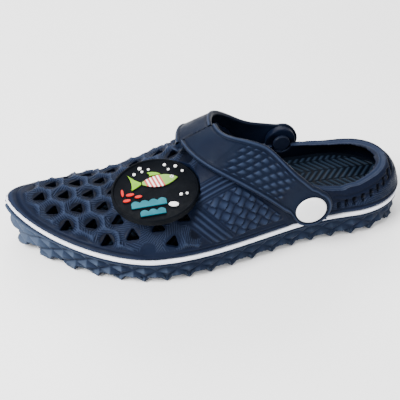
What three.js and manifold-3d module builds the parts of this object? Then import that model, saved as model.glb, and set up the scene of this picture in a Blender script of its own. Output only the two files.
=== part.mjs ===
// A moulded foam garden clog for the left foot: lugged outsole, midsole, stripe, vented upper,
// footbed, swinging heel strap on two snap rivets, and a round plug-in charm with a fish on it.
// Millimetres. Toe along -X, heel along +X, outer side of the foot along -Y, +Z up.
import * as THREE from 'three';
import { mergeVertices } from 'three/addons/utils/BufferGeometryUtils.js';
import Module from 'manifold-3d';

const wasm = await Module();
wasm.setup();

// ---- Driving dimensions ----
const soleLength = 260;
const ballHalfWidth = 52.2;
const heelHalfWidth = 35.2;
const innerToeSlimness = 0.69; // share of the half width left on the inner side of the toe
const centreShift = 5.8; // brings the overall width to the middle of the frame
const fitGap = 0.3; // between pieces that touch

const stripeHeight = 2.5;
const stripeWidth = 4;
const outsoleInset = 0.6;
const lugHeight = 5.5;
const lugPitch = 14;
const lugRadius = 8.2;
const lugTipRadius = 4.6;
const lugRowPitch = 15;
const lugEdgeInset = 7.5;
const toeSpring = 7.5;
const toeSpringLength = 39;
const midsoleRise = 1;
const footbedThickness = 2.3;

const upperInset = 0.9;
const wallThickness = 4.8;
const crownThickness = 3.8;
const toeBoxRise = 16.5;
const instepRise = 40;
const heelWallRise = 24;
const throatX = 2;
const throatZ = 76;
const outerRimZ = 35.3;
const innerRimZ = 33;
const rearRimZ = 40;

const ventRadius = 5.2;
const ventPitch = 15.5;
const ventRowPitch = 12.5;

const pivotX = 57.5;
const lobeOutset = 1.4; // the strap's inner face stands this far outside the sole outline
const lobeOverlap = 0.2; // how far the strap's lobe hangs below the upper's base
const lobeRadius = 14;
const lobeFlatRim = 2.5; // how far beyond the rivet head the lobe stays flat
const earRadius = 10.4;
const earFootLength = 27;
const earGap = 0.4;
const earThickness = 5.2;
const strapThickness = 2.8;
const strapHalfWidth = 12.4;
const strapReach = 78;
const strapRise = THREE.MathUtils.degToRad(29.5);
const strapCrownGap = 7;
const strapSideGap = 1;
const innerArmSag = 9;
const outerArmBow = 11; // how far the outer arm bows up from a straight line
const innerArmShare = 0.8; // width of the inner arm at its lobe, beside the outer one's

const rivetHeadRadius = 9.75;
const rivetHeadThickness = 2.2;
const rivetShankRadius = 3;
const rivetBore = 1.9;
const rivetPinRadius = 1.6;
const rivetFlangeRadius = 6;
const rivetFlangeThickness = 1.8;
const runningClearance = 0.4;

const charmRadius = 26.5;
const charmThickness = 3.4;
const charmRimWidth = 1.6;
const charmRimRise = 0.9;
const charmX = -37.4;
const charmAngle = THREE.MathUtils.degToRad(60.5); // round the arch from its outer edge
const charmLift = 8.7;
const charmPitch = THREE.MathUtils.degToRad(4);
const charmRoll = THREE.MathUtils.degToRad(6);
const plugNeckRadius = 2.4;
const plugHeadRadius = 4.6;
const plugHeadHeight = 3.2;
const motifThickness = 0.7;

// ---- Sole outline and heights, with s from 0 at the toe to 1 at the heel ----
const clamp01 = (t) => Math.min(1, Math.max(0, t));
const smooth = (t) => clamp01(t) ** 2 * (3 - 2 * clamp01(t));
const alongX = (s) => (s - 0.5) * soleLength;
const shareAt = (x) => x / soleLength + 0.5;

function outerHalf(s) {
  if (s < 0.34) return ballHalfWidth * (1 - ((0.34 - s) / 0.34) ** 1.6) ** (1 / 1.6);
  const waist = ballHalfWidth + (heelHalfWidth - ballHalfWidth) * smooth((s - 0.34) / 0.46);
  return s < 0.84 ? waist : heelHalfWidth * Math.sqrt(Math.max(0, 1 - ((s - 0.84) / 0.16) ** 2));
}

function innerHalf(s) {
  return outerHalf(s) * (innerToeSlimness + (1 - innerToeSlimness) * smooth((s - 0.08) / 0.56));
}

function centreLine(s) {
  const toeCurve = 14.9 * clamp01(1 - s / 0.45) ** 2;
  const heelCurve = 4.6 * smooth((s - 0.45) / 0.4) - 0.7 * smooth((s - 0.85) / 0.15);
  return centreShift - 3.4 + toeCurve + heelCurve;
}

// Height of the stripe's middle: high at the toe, lowest under the instep.
function stripeZ(s) {
  const toe = 11 * clamp01(1 - s / 0.36) ** 1.9;
  return 18.9 + toe + 1.3 * smooth((s - 0.6) / 0.25);
}

function groundZ(s) {
  return toeSpring * clamp01((-soleLength / 2 + toeSpringLength - alongX(s)) / toeSpringLength) ** 2;
}

// Rise of the upper's crown above its base, and the two collar lines seen from the side.
function frontRise(x) {
  const fromToe = clamp01((x + soleLength / 2) / 75);
  return toeBoxRise * (1 - (1 - fromToe) ** 2.2) + instepRise * smooth((x + 78) / 110);
}

function heelRise(x) {
  const past = clamp01((x - soleLength / 2 + 25) / 25);
  return heelWallRise * Math.sqrt(1 - past ** 2);
}

function crownRise(x) {
  return frontRise(x) + (heelRise(x) - frontRise(x)) * smooth((x - 55) / 35);
}

const upperBaseZ = (s) => stripeZ(s) + stripeHeight / 2 + fitGap;

function outerCollarZ(x) {
  const front = (throatZ - outerRimZ) * clamp01((85 - x) / (85 - throatX)) ** 1.3;
  return outerRimZ + front + (rearRimZ - outerRimZ) * smooth((x - 85) / 37);
}

function innerCollarZ(x) {
  const front = (throatZ - innerRimZ) * clamp01((38 - x) / (38 - throatX)) ** 1.6;
  return innerRimZ + front + (rearRimZ - innerRimZ) * smooth((x - 85) / 37);
}

// A point of the upper's outer face at x, turning from the outer edge (angle 0) over to the inner (pi).
function domePoint(x, angle, grow = 0, lift = 0) {
  const s = shareAt(x);
  const side = Math.cos(angle) > 0 ? outerHalf(s) : innerHalf(s);
  const half = Math.max(0.2, side - upperInset + grow);
  const rise = (crownRise(x) + lift) * Math.sin(angle);
  return new THREE.Vector3(x, centreLine(s) - half * Math.cos(angle), upperBaseZ(s) + rise);
}

// ---- Places that follow the outline and the arch ----
const pivotFaceY = outerHalf(shareAt(pivotX)) + lobeOutset;
const pivotZ = upperBaseZ(shareAt(pivotX)) + lobeRadius - lobeOverlap;
const charmCentre = domePoint(charmX, charmAngle).add(new THREE.Vector3(0, 0, charmLift));

// ---- Solids ----
function stations(count, end = 0.0006) {
  const list = [];
  for (let i = 0; i <= count; i++) {
    const t = (1 - Math.cos((Math.PI * i) / count)) / 2;
    list.push(end + (1 - 2 * end) * t);
  }
  return list;
}

// Skins a list of equal convex rings and closes both ends with a fan.
function loft(rings) {
  const size = rings[0].length;
  const positions = rings.flatMap((ring) => ring.flatMap((p) => [p.x, p.y, p.z]));
  const index = [];
  for (let i = 0; i + 1 < rings.length; i++) {
    for (let j = 0; j < size; j++) {
      const a = i * size + j;
      const b = i * size + ((j + 1) % size);
      index.push(a, b, b + size, a, b + size, a + size);
    }
  }
  const last = (rings.length - 1) * size;
  for (let j = 1; j + 1 < size; j++) {
    index.push(0, j + 1, j);
    index.push(last, last + j, last + j + 1);
  }
  const geometry = new THREE.BufferGeometry();
  geometry.setAttribute('position', new THREE.Float32BufferAttribute(positions, 3));
  geometry.setIndex(index);
  return geometry;
}

function solid(geometry) {
  const bare = geometry.clone();
  bare.deleteAttribute('normal');
  bare.deleteAttribute('uv');
  const merged = mergeVertices(bare, 1e-4);
  const vertProperties = new Float32Array(merged.attributes.position.array);
  const build = (triVerts) => new wasm.Manifold(new wasm.Mesh({ numProp: 3, vertProperties, triVerts }));
  const triVerts = new Uint32Array(merged.index.array);
  const made = build(triVerts);
  if (made.volume() > 0) return made;
  const turned = [];
  for (let i = 0; i < triVerts.length; i += 3) turned.push(triVerts[i], triVerts[i + 2], triVerts[i + 1]);
  return build(new Uint32Array(turned));
}

function toGeometry(manifold) {
  const mesh = manifold.getMesh();
  const geometry = new THREE.BufferGeometry();
  geometry.setAttribute('position', new THREE.Float32BufferAttribute(Array.from(mesh.vertProperties), 3));
  geometry.setIndex(Array.from(mesh.triVerts));
  return geometry;
}

const joinAll = (solids) => solids.reduce((whole, piece) => whole.add(piece));
const cutAll = (body, cutters) => cutters.reduce((left, cutter) => left.subtract(cutter), body);
const localHalf = (s) => ballHalfWidth + (heelHalfWidth - ballHalfWidth) * smooth((s - 0.34) / 0.46);

// A slab that follows the sole outline, inset from its edge, between two heights given along s.
function soleSlab(inset, lowZ, highZ, count = 30) {
  const shrinkX = 1 - inset / (soleLength / 2);
  const rings = stations(count).map((s) => {
    const x = alongX(s) * shrinkX;
    const at = shareAt(x);
    const narrow = 1 - inset / localHalf(s);
    const outerY = centreLine(at) - outerHalf(s) * narrow;
    const innerY = centreLine(at) + innerHalf(s) * narrow;
    return [
      new THREE.Vector3(x, outerY, lowZ(at)),
      new THREE.Vector3(x, innerY, lowZ(at)),
      new THREE.Vector3(x, innerY, highZ(at)),
      new THREE.Vector3(x, outerY, highZ(at)),
    ];
  });
  return solid(loft(rings));
}

// The closed dome of the upper, with walls and crown set in and its base let down by a skirt.
function dome(wall, crown, skirt, stationCount = 32, archCount = 12) {
  const shrinkX = 1 - wall / (soleLength / 2);
  const rings = stations(stationCount).map((s) => {
    const x = alongX(s) * shrinkX;
    const fullRise = crownRise(alongX(s));
    const rise = Math.max(0.3, fullRise - crown * clamp01(fullRise / 10));
    const narrow = 1 - wall / localHalf(s);
    const baseZ = upperBaseZ(shareAt(x));
    const ring = [];
    for (let j = 0; j <= archCount; j++) {
      const angle = (Math.PI * j) / archCount;
      const side = j <= archCount / 2 ? outerHalf(s) : innerHalf(s);
      const half = Math.max(0.3, (side - upperInset) * narrow);
      const y = centreLine(shareAt(x)) - half * Math.cos(angle);
      ring.push(new THREE.Vector3(x, y, baseZ + rise * Math.sin(angle)));
    }
    if (skirt > 0) {
      ring.push(new THREE.Vector3(x, ring[archCount].y, baseZ - skirt));
      ring.push(new THREE.Vector3(x, ring[0].y, baseZ - skirt));
    }
    return ring;
  });
  return solid(loft(rings));
}

// A round bar along Y through the pivot, between two distances out from the shoe's centre.
function pivotBar(side, radius, from, to, sides = 20) {
  const bar = new THREE.CylinderGeometry(radius, radius, to - from, sides);
  bar.translate(pivotX, centreShift + (side * (from + to)) / 2, pivotZ);
  return solid(bar);
}

// ---- Sole ----
const outsoleTopZ = (s) => stripeZ(s) - stripeHeight / 2 - fitGap;
const lugRootZ = (s) => Math.min(outsoleTopZ(s) - 4, groundZ(s) + lugHeight);

function lug(x, y) {
  const s = shareAt(x);
  const foot = groundZ(s);
  const height = lugRootZ(s) - foot + 1;
  const shape = new THREE.CylinderGeometry(lugRadius, lugTipRadius, height, 4);
  shape.rotateX(Math.PI / 2);
  shape.translate(x, y, foot + height / 2);
  return solid(shape);
}

function makeOutsole() {
  const lugs = [];
  const columns = Math.floor((soleLength - 2 * lugEdgeInset) / lugPitch);
  for (let i = 0; i <= columns; i++) {
    const x = (i - columns / 2) * lugPitch;
    const s = shareAt(x);
    const low = centreLine(s) - outerHalf(s) + lugEdgeInset;
    const high = centreLine(s) + innerHalf(s) - lugEdgeInset;
    const rows = Math.max(1, Math.round((high - low) / lugRowPitch));
    for (let j = 0; j <= rows; j++) lugs.push(lug(x, low + ((high - low) * j) / rows));
  }
  const body = soleSlab(outsoleInset, lugRootZ, outsoleTopZ);
  const room = soleSlab(outsoleInset, (s) => groundZ(s) - 1, outsoleTopZ);
  return joinAll([body, ...lugs]).intersect(room);
}

function makeStripe() {
  const low = (s) => stripeZ(s) - stripeHeight / 2;
  const high = (s) => stripeZ(s) + stripeHeight / 2;
  const opening = soleSlab(stripeWidth, (s) => low(s) - 2, (s) => high(s) + 2);
  return soleSlab(0, low, high).subtract(opening);
}

const midsoleTopZ = (s) => stripeZ(s) + midsoleRise;
const makeMidsole = () => soleSlab(stripeWidth + fitGap, (s) => outsoleTopZ(s) + fitGap, midsoleTopZ);

const footbedLowZ = (s) => midsoleTopZ(s) + fitGap;
const footbedTopZ = (s) => footbedLowZ(s) + footbedThickness;
const footbedInset = upperInset + wallThickness + 2;
// The footbed is trimmed by the room inside the upper, which closes down at the toe.
function makeFootbed() {
  const room = dome(wallThickness + 2 * fitGap, crownThickness + 2 * fitGap, 6);
  return soleSlab(footbedInset, footbedLowZ, footbedTopZ).intersect(room);
}

// ---- Upper ----
// Everything above a collar line on one side of the shoe, as a prism along Y.
function aboveCollar(collarZ, side) {
  const outline = new THREE.Shape();
  const steps = 12;
  const end = soleLength / 2 + 10;
  outline.moveTo(throatX, throatZ + 60);
  for (let i = 0; i <= steps; i++) {
    const x = throatX + ((end - throatX) * i) / steps;
    outline.lineTo(x, collarZ(x));
  }
  outline.lineTo(end, throatZ + 60);
  const reach = 90;
  const prism = new THREE.ExtrudeGeometry(outline, { depth: reach, bevelEnabled: false });
  prism.rotateX(Math.PI / 2);
  prism.translate(0, centreShift + (side > 0 ? reach : 0.01), 0);
  return solid(prism);
}

// Turns a distance along the arch from its crown into the arch's angle.
function archAngle(x, arc) {
  const step = 0.01;
  let angle = Math.PI / 2;
  let walked = 0;
  let here = domePoint(x, angle);
  while (walked < Math.abs(arc) && angle > 0 && angle < Math.PI) {
    angle += arc > 0 ? -step : step;
    const next = domePoint(x, angle);
    walked += next.distanceTo(here);
    here = next;
  }
  return angle;
}

function domeNormal(x, angle) {
  const dx = domePoint(x + 0.5, angle).sub(domePoint(x - 0.5, angle));
  const da = domePoint(x, angle + 0.01).sub(domePoint(x, angle - 0.01));
  const normal = dx.cross(da).normalize();
  return normal.z < 0 ? normal.negate() : normal;
}

// Vents lie in rows along the shoe, every other row moved on by half a pitch.
function ventPlaces() {
  const places = [];
  for (let row = -3; row <= 4; row++) {
    const arc = 5 + row * ventRowPitch;
    for (let k = 0; k < 8; k++) {
      const x = -108 + k * ventPitch + (Math.abs(row) % 2) * (ventPitch / 2);
      const angle = archAngle(x, arc);
      const onArch = angle > 0.28 && angle < Math.PI - 0.28;
      const beforeThroat = x < -17 - 0.1 * Math.abs(arc);
      const tall = crownRise(x) > 8;
      const clearOfPlug = Math.hypot(x - charmCentre.x, domePoint(x, angle).y - charmCentre.y) > 9;
      if (onArch && beforeThroat && tall && clearOfPlug) places.push({ x, angle });
    }
  }
  return places;
}

function vent({ x, angle }) {
  const cutter = new THREE.CylinderGeometry(ventRadius, ventRadius, 4 * wallThickness, 3);
  cutter.rotateY(0.5);
  const turn = new THREE.Quaternion().setFromUnitVectors(new THREE.Vector3(0, 1, 0), domeNormal(x, angle));
  cutter.applyQuaternion(turn);
  const centre = domePoint(x, angle);
  cutter.translate(centre.x, centre.y, centre.z);
  return solid(cutter);
}

// ---- Charm frame: its face looks up, tipped a little towards the toe and the outer side ----
const charmNormal = new THREE.Vector3(-Math.tan(charmPitch), -Math.tan(charmRoll), 1).normalize();
const charmTurn = new THREE.Quaternion().setFromUnitVectors(new THREE.Vector3(0, 0, 1), charmNormal);

// Places a shape built face up around the origin onto the charm, with its height above the face.
function ontoCharm(geometry, above = 0) {
  const placed = geometry.clone();
  placed.translate(0, 0, above);
  placed.applyQuaternion(charmTurn);
  placed.translate(charmCentre.x, charmCentre.y, charmCentre.z);
  return placed;
}

function charmBar(radius, from, to, sides) {
  const bar = new THREE.CylinderGeometry(radius, radius, to - from, sides);
  bar.rotateX(Math.PI / 2);
  return solid(ontoCharm(bar, (from + to) / 2));
}

// An ear that stands up from the side wall around a rivet: a disc on a spread foot.
function ear(side) {
  const foot = upperBaseZ(shareAt(pivotX)) + 0.2;
  const shape = new THREE.Shape();
  const half = earFootLength / 2;
  shape.moveTo(pivotX - half, foot);
  shape.lineTo(pivotX + half, foot);
  shape.quadraticCurveTo(pivotX + earRadius, foot + 2, pivotX + earRadius, pivotZ);
  shape.absarc(pivotX, pivotZ, earRadius, 0, Math.PI, false);
  shape.quadraticCurveTo(pivotX - earRadius, foot + 2, pivotX - half, foot);
  const face = pivotFaceY - earGap;
  const slab = new THREE.ExtrudeGeometry(shape, { depth: earThickness, bevelEnabled: false, curveSegments: 5 });
  slab.rotateX(Math.PI / 2);
  slab.translate(0, centreShift + (side > 0 ? face : earThickness - face), 0);
  return solid(slab);
}

function makeUpper() {
  const shell = dome(0, 0, 0).subtract(dome(wallThickness, crownThickness, 6));
  const open = cutAll(shell, [aboveCollar(outerCollarZ, -1), aboveCollar(innerCollarZ, 1)]);
  const eared = joinAll([open, ear(-1), ear(1)]);
  const earInsideY = pivotFaceY - earGap - earThickness;
  const swing = [-1, 1].map((side) => pivotBar(side, lobeRadius + 2, pivotFaceY - earGap, pivotFaceY + 12));
  const pockets = [-1, 1].map((side) => pivotBar(side, rivetFlangeRadius + 0.8, earInsideY - 14, earInsideY));
  const holes = [-1, 1].map((side) => pivotBar(side, rivetShankRadius + fitGap, 10, pivotFaceY + 2));
  const charmSeat = charmBar(charmRadius + 0.6, -charmThickness - 0.4, 12, 30);
  const plugHole = charmBar(plugNeckRadius + fitGap, -24, 0, 12);
  const cutters = [...swing, ...pockets, ...holes, ...ventPlaces().map(vent), charmSeat, plugHole];
  const pieces = cutAll(eared, cutters).decompose();
  return pieces.sort((a, b) => b.volume() - a.volume())[0];
}

// ---- Heel strap ----
// The strap's centre line seen from the side, at a distance along it from the pivot.
function strapSide(along, across, side) {
  const share = clamp01(along / strapReach);
  const swell = Math.sin(Math.PI * share);
  const sag = side > 0 ? innerArmSag * swell ** 1.2 : -outerArmBow * swell;
  const x = pivotX - along * Math.cos(strapRise);
  const z = pivotZ + along * Math.sin(strapRise) - sag;
  const tilt = THREE.MathUtils.degToRad(60.5 - 37 * smooth(share));
  return { x: x + across * Math.cos(tilt), z: z + across * Math.sin(tilt) };
}

// A point of the strap's inner face; the strap lies over the instep with a gap.
function strapPoint(along, across, side) {
  const flat = strapSide(along, across, side);
  const s = shareAt(flat.x);
  const rise = crownRise(flat.x) + strapCrownGap;
  const onCrown = clamp01((along / strapReach - 0.72) / 0.28) ** 2;
  const lineShare = Math.min(1, Math.max(0, (flat.z - upperBaseZ(s)) / rise));
  const centreShare = strapSide(along, 0, side);
  const middle = (centreShare.z - upperBaseZ(shareAt(centreShare.x))) / (crownRise(centreShare.x) + strapCrownGap);
  const share = Math.min(1, lineShare * (1 - onCrown) + Math.min(1, middle) * onCrown);
  const height = along >= strapReach ? 1 : share;
  const half = (side > 0 ? innerHalf(s) : outerHalf(s)) - upperInset + strapSideGap;
  const archY = side * half * Math.sqrt(Math.max(0, 1 - height ** 2)) + centreLine(s);
  const lobeY = centreShift + side * pivotFaceY;
  const apart = side * (archY - lobeY);
  const leaveLobe = smooth((Math.hypot(along, across) - rivetHeadRadius - lobeFlatRim) / 5);
  const reachOut = 0.5 * leaveLobe * (apart + Math.sqrt(apart ** 2 + 1));
  const leaveFlat = smooth((along - strapReach * 0.2) / (strapReach * 0.35));
  const y = (lobeY + side * reachOut) * (1 - leaveFlat) + archY * leaveFlat;
  const z = flat.z * (1 - onCrown) + (upperBaseZ(s) + rise * height) * onCrown;
  return new THREE.Vector3(flat.x, y, z);
}

function strapRing(along, side) {
  const fullHalf = along < 6.5 ? Math.sqrt(Math.max(2, lobeRadius ** 2 - along ** 2)) : strapHalfWidth;
  const narrowing = side > 0 ? (1 - innerArmShare) * (1 - smooth(along / strapReach)) : 0;
  const half = fullHalf * (1 - narrowing);
  const inner = [];
  const outer = [];
  const count = 4;
  for (let j = 0; j <= count; j++) {
    const across = half * ((2 * j) / count - 1);
    const here = strapPoint(along, across, side);
    const dAcross = strapPoint(along, across + 0.2, side).sub(strapPoint(along, across - 0.2, side));
    const ahead = Math.min(along + 0.2, strapReach - 0.4);
    const dAlong = strapPoint(ahead, across, side).sub(strapPoint(ahead - 0.4, across, side));
    const normal = dAcross.cross(dAlong).normalize();
    const out = new THREE.Vector3(0, side * 0.3, 1).dot(normal) + side * normal.y * 3;
    if (out < 0) normal.negate();
    if (along >= strapReach) normal.setY(0).normalize();
    inner.push(here);
    outer.push(here.clone().addScaledVector(normal, strapThickness));
  }
  return [...inner, ...outer.reverse()];
}

function makeStrap() {
  const count = 20;
  const alongs = [];
  for (let i = 0; i <= count; i++) {
    const t = i / count;
    alongs.push(-lobeRadius + (strapReach + lobeRadius) * Math.sin((Math.PI / 2) * t ** 0.9) + 0.08 * (1 - t));
  }
  const outerArm = alongs.map((along) => strapRing(along, -1));
  const innerArm = alongs.slice(0, -3).map((along) => strapRing(along, 1)).reverse();
  const band = solid(loft([...outerArm, ...innerArm]));
  const holeRadius = rivetShankRadius + runningClearance;
  const holes = [-1, 1].map((side) => pivotBar(side, holeRadius, pivotFaceY - 4, pivotFaceY + 8, 18));
  return cutAll(band, holes);
}

// ---- Rivets ----
// Turned pieces: the profile runs along the pivot axis, then is laid along Y on one side.
function turned(profile, side, sides = 18) {
  const points = profile.map(([radius, out]) => new THREE.Vector2(radius, out));
  const shape = new THREE.LatheGeometry(points, sides);
  const bare = toGeometry(solid(shape));
  if (side < 0) bare.rotateX(Math.PI);
  bare.translate(pivotX, centreShift, pivotZ);
  return bare;
}

const rivetSeat = pivotFaceY + strapThickness + fitGap;

function makeRivetCap(side) {
  const tip = pivotFaceY - earGap - earThickness + 1;
  const top = rivetSeat + rivetHeadThickness;
  const profile = [
    [0, rivetSeat - 1],
    [rivetBore, rivetSeat - 1],
    [rivetBore, tip],
    [rivetShankRadius, tip],
    [rivetShankRadius, rivetSeat],
    [rivetHeadRadius - 0.5, rivetSeat],
    [rivetHeadRadius, rivetSeat + 0.5],
    [rivetHeadRadius - 0.4, top - 0.7],
    [rivetHeadRadius - 2, top - 0.2],
    [rivetHeadRadius / 2, top],
    [0, top],
  ];
  return turned(profile, side);
}

function makeRivetPost(side) {
  const seat = pivotFaceY - earGap - earThickness - fitGap;
  const profile = [
    [0, seat - rivetFlangeThickness],
    [rivetFlangeRadius - 0.6, seat - rivetFlangeThickness],
    [rivetFlangeRadius, seat - rivetFlangeThickness + 0.6],
    [rivetFlangeRadius, seat],
    [rivetPinRadius, seat],
    [rivetPinRadius, rivetSeat - 1.8],
    [rivetPinRadius - 0.5, rivetSeat - 1.3],
    [0, rivetSeat - 1.3],
  ];
  return turned(profile, side, 14);
}

// ---- Charm ----
function makeCharmPlate() {
  const profile = [
    [0, -charmThickness],
    [charmRadius - 0.8, -charmThickness],
    [charmRadius, -charmThickness + 0.8],
    [charmRadius, charmRimRise - 0.3],
    [charmRadius - 0.4, charmRimRise],
    [charmRadius - charmRimWidth, charmRimRise],
    [charmRadius - charmRimWidth - 0.3, 0],
    [0, 0],
  ];
  const disc = new THREE.LatheGeometry(profile.map(([r, h]) => new THREE.Vector2(r, h)), 30);
  disc.rotateX(Math.PI / 2);
  return toGeometry(solid(ontoCharm(disc)));
}

function makeCharmPlug() {
  const top = -charmThickness - fitGap;
  const below = domeUnderCharm() - 1.2;
  const profile = [
    [0, below - plugHeadHeight],
    [plugHeadRadius * 0.45, below - plugHeadHeight],
    [plugHeadRadius, below - 0.8],
    [plugHeadRadius - 0.5, below],
    [plugNeckRadius, below],
    [plugNeckRadius, top],
    [0, top],
  ];
  const plug = new THREE.LatheGeometry(profile.map(([r, h]) => new THREE.Vector2(r, h)), 12);
  plug.rotateX(Math.PI / 2);
  return toGeometry(solid(ontoCharm(plug)));
}

// How far below the charm's face the inside of the upper lies at the plug.
function domeUnderCharm() {
  const s = shareAt(charmCentre.x);
  const side = charmCentre.y < centreLine(s) ? outerHalf(s) : innerHalf(s);
  const half = (side - upperInset) * (1 - wallThickness / localHalf(s));
  const share = (charmCentre.y - centreLine(s)) / half;
  const crown = crownRise(charmCentre.x) - crownThickness;
  return upperBaseZ(s) + crown * Math.sqrt(1 - share ** 2) - charmCentre.z - 2.6;
}

// A flat inlay on the charm's face, with its outline in the charm's own plane.
function inlay(shape, thickness = motifThickness) {
  const geometry = new THREE.ExtrudeGeometry(shape, { depth: thickness, bevelEnabled: false, curveSegments: 6 });
  return toGeometry(solid(ontoCharm(geometry, fitGap)));
}

function roundShape(x, y, radiusX, radiusY = radiusX, turn = 0) {
  const shape = new THREE.Shape();
  shape.absellipse(x, y, radiusX, radiusY, 0, Math.PI * 2, false, turn);
  return shape;
}

const fishBack = { x: 2, y: 6.5 };

function fishBody() {
  const { x, y } = fishBack;
  const shape = new THREE.Shape();
  shape.moveTo(x + 13, y + 0.5);
  shape.quadraticCurveTo(x + 4, y + 9, x - 9, y + 0.9);
  shape.lineTo(x - 9, y - 1.3);
  shape.quadraticCurveTo(x + 3, y - 9.5, x + 13, y + 0.5);
  return shape;
}

function fishTail() {
  const { x, y } = fishBack;
  const shape = new THREE.Shape();
  shape.moveTo(x - 9.6, y + 0.6);
  shape.quadraticCurveTo(x - 12.5, y + 2, x - 17, y + 8.5);
  shape.quadraticCurveTo(x - 14.5, y + 1, x - 16, y - 5);
  shape.quadraticCurveTo(x - 12, y - 3, x - 9.6, y - 1);
  return shape;
}

function fin(x, y, length, height) {
  const shape = new THREE.Shape();
  shape.moveTo(x, y);
  shape.quadraticCurveTo(x + length * 0.3, y + height, x + length, y + height * 0.9);
  shape.quadraticCurveTo(x + length * 0.75, y + height * 0.3, x + length * 0.9, y);
  return shape;
}

// A band of sea with a wavy top, as long as it is wide along the charm.
function waveBand(x, y, length, depth, crests) {
  const shape = new THREE.Shape();
  const crest = length / crests;
  shape.moveTo(x, y - depth);
  shape.lineTo(x, y);
  for (let i = 0; i < crests; i++) {
    const from = x + i * crest;
    shape.quadraticCurveTo(from + crest * 0.45, y + 3.2, from + crest, y);
  }
  shape.lineTo(x + length, y - depth);
  return shape;
}

const roundedBar = (x, y, length, width) => roundShape(x, y, length / 2, width / 2);

const bubbles = [
  [-10.9, 15.1, 1],
  [-7, 19.6, 1.2],
  [-5.9, 16.4, 0.8],
  [-1.8, 17.6, 0.8],
  [8.5, 19.6, 1],
  [10.3, 15, 0.8],
  [15, 16.9, 1.1],
  [18.5, 11.9, 0.9],
  [14.7, -7.8, 1],
  [18.3, -7.8, 0.8],
];

const dashes = [
  [-19.6, 0.8, 1.7, 6],
  [-15.2, -1.6, 5, 2.4],
  [-17.6, -6, 4.6, 2.4],
  [-10.5, -4.2, 4.4, 2.2],
];

// ---- Materials and assembly ----
const colours = {
  navyFoam: [0x1c2742, 0.55],
  navyStrap: [0x202c48, 0.5],
  navyBed: [0x1e2c42, 0.7],
  whiteStripe: [0xdfe2ee, 0.5],
  whiteRivet: [0xe6e7e8, 0.3],
  navyPost: [0x151c2e, 0.4],
  blackVinyl: [0x12151d, 0.45],
  greenVinyl: [0x86b33c, 0.45],
  redVinyl: [0xc8322c, 0.45],
  whiteVinyl: [0xeceeee, 0.45],
  tealVinyl: [0x3f9aa6, 0.45],
};

const materials = Object.fromEntries(
  Object.entries(colours).map(([name, [color, roughness]]) => [
    name,
    new THREE.MeshStandardMaterial({ color, roughness, metalness: 0 }),
  ]),
);

const clog = new THREE.Group();
const charm = new THREE.Group();
clog.add(charm);

function place(parent, name, geometry, material) {
  geometry.computeVertexNormals();
  const mesh = new THREE.Mesh(geometry, materials[material]);
  mesh.name = name;
  parent.add(mesh);
}

place(clog, 'outsole', toGeometry(makeOutsole()), 'navyFoam');
place(clog, 'midsole', toGeometry(makeMidsole()), 'navyFoam');
place(clog, 'foxing_stripe', toGeometry(makeStripe()), 'whiteStripe');
place(clog, 'footbed', toGeometry(makeFootbed()), 'navyBed');
place(clog, 'upper_shell', toGeometry(makeUpper()), 'navyFoam');
place(clog, 'heel_strap', toGeometry(makeStrap()), 'navyStrap');
[
  ['outer', -1],
  ['inner', 1],
].forEach(([name, side]) => {
  place(clog, `rivet_cap_${name}`, makeRivetCap(side), 'whiteRivet');
  place(clog, `rivet_post_${name}`, makeRivetPost(side), 'navyPost');
});

place(charm, 'charm_plate', makeCharmPlate(), 'blackVinyl');
place(charm, 'charm_plug', makeCharmPlug(), 'blackVinyl');
place(charm, 'fish_body', inlay(fishBody()), 'greenVinyl');
place(charm, 'fish_tail', inlay(fishTail()), 'greenVinyl');
place(charm, 'fish_fin', inlay(fin(fishBack.x + 3, fishBack.y + 5.3, -8, 3.4)), 'greenVinyl');
place(charm, 'sea_wave_front', inlay(waveBand(-15.5, -9.5, 21, 4, 4)), 'tealVinyl');
place(charm, 'sea_wave_back', inlay(waveBand(-11, -17.5, 15, 3.2, 3)), 'tealVinyl');
place(charm, 'pebble', inlay(roundShape(9.2, -14.8, 3, 1.8, -0.3)), 'whiteVinyl');
bubbles.forEach(([x, y, radius], i) => {
  place(charm, `bubble_${i + 1}`, inlay(roundShape(x, y, radius)), 'whiteVinyl');
});
dashes.forEach(([x, y, length, width], i) => {
  place(charm, `coral_dash_${i + 1}`, inlay(roundedBar(x, y, length, width)), 'redVinyl');
});

export default clog;
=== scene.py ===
import math
import bpy
import bmesh
import numpy as np
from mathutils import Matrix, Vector
from mathutils.kdtree import KDTree


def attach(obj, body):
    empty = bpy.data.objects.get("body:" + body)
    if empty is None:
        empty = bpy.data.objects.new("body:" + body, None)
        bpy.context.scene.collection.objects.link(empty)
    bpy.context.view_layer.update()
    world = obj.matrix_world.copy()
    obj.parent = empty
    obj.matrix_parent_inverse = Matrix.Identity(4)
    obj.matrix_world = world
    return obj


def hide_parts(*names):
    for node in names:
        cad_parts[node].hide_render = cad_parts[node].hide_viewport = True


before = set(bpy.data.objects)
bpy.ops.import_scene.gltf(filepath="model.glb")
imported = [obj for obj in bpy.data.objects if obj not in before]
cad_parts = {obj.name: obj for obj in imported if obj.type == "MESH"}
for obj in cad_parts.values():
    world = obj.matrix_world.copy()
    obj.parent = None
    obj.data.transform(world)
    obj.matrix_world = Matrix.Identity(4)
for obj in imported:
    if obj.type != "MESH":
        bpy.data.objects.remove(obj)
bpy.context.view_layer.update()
print("frame loaded")

# the shoe's sizes, in millimetres, as the CAD part has them
mm = 0.001
soleLength = 260.0
halfLength = soleLength / 2
ballHalfWidth = 52.2
heelHalfWidth = 35.2
innerToeSlimness = 0.69  # share of the half width left on the inner side of the toe
centreShift = 5.8
fitGap = 0.3
stripeHeight = 2.5
toeSpring = 7.5
toeSpringLength = 39.0
upperInset = 0.9
wallThickness = 4.8
pivotX = 57.5
lobeRadius = 14.0
lobeOverlap = 0.2
lobeOutset = 1.4
earGap = 0.4
earThickness = 5.2


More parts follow.
